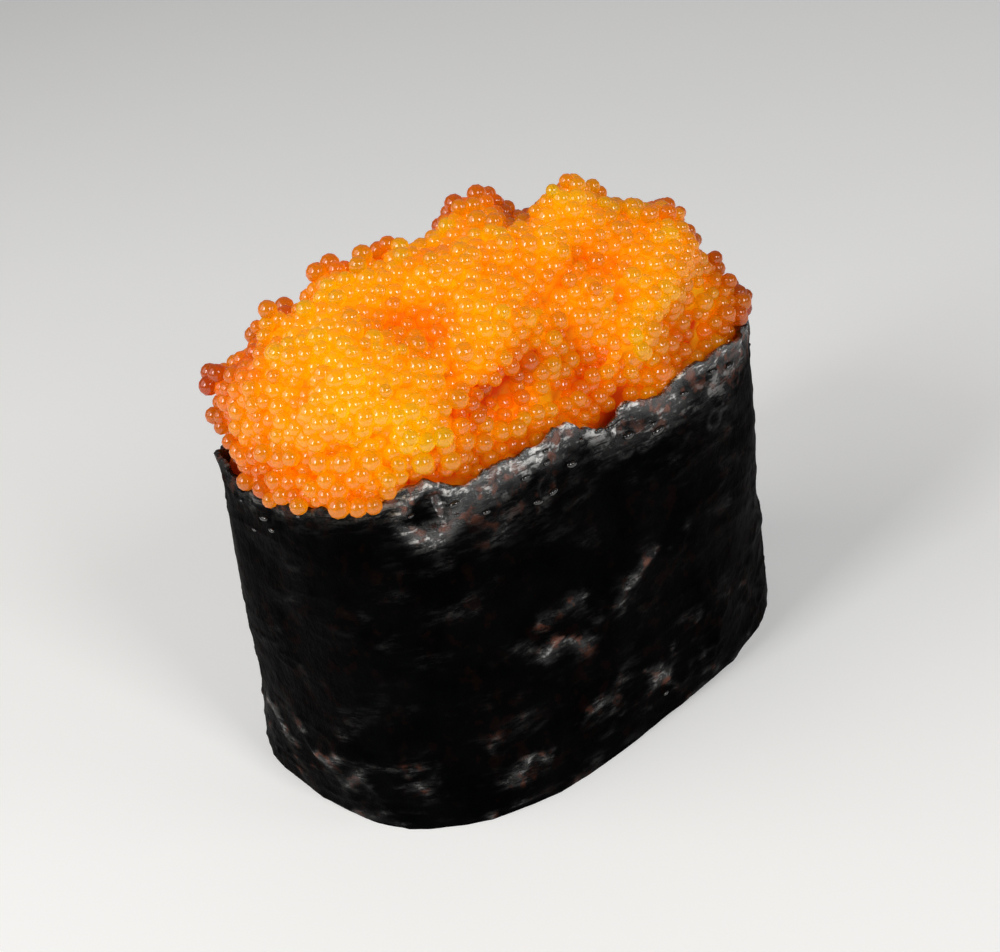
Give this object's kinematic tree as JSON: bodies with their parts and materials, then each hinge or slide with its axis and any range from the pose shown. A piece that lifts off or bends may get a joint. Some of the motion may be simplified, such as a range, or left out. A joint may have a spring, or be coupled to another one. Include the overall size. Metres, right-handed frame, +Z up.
{
  "type": "gunkan sushi",
  "caption": "Gunkan sushi: an oblong block of rice inside a standing nori band, topped with a lumpy heap of small orange fish roe.",
  "frame": {"origin": "middle of the underside of the whole piece", "axes": "+X along the length, towards the end where the heap is highest; +Y across, away from the side that shows; +Z up"},
  "size_m": [0.0564, 0.0395, 0.0501],
  "materials": {
    "nori": "dark seaweed sheet, dull with moist shiny spots",
    "roe": "wet translucent orange eggs",
    "rice": "moist cooked grains"
  },
  "bodies": {
    "root": {"nori_band": "nori", "rice_core": "rice", "roe_heap": "roe"}
  },
  "joints": []
}
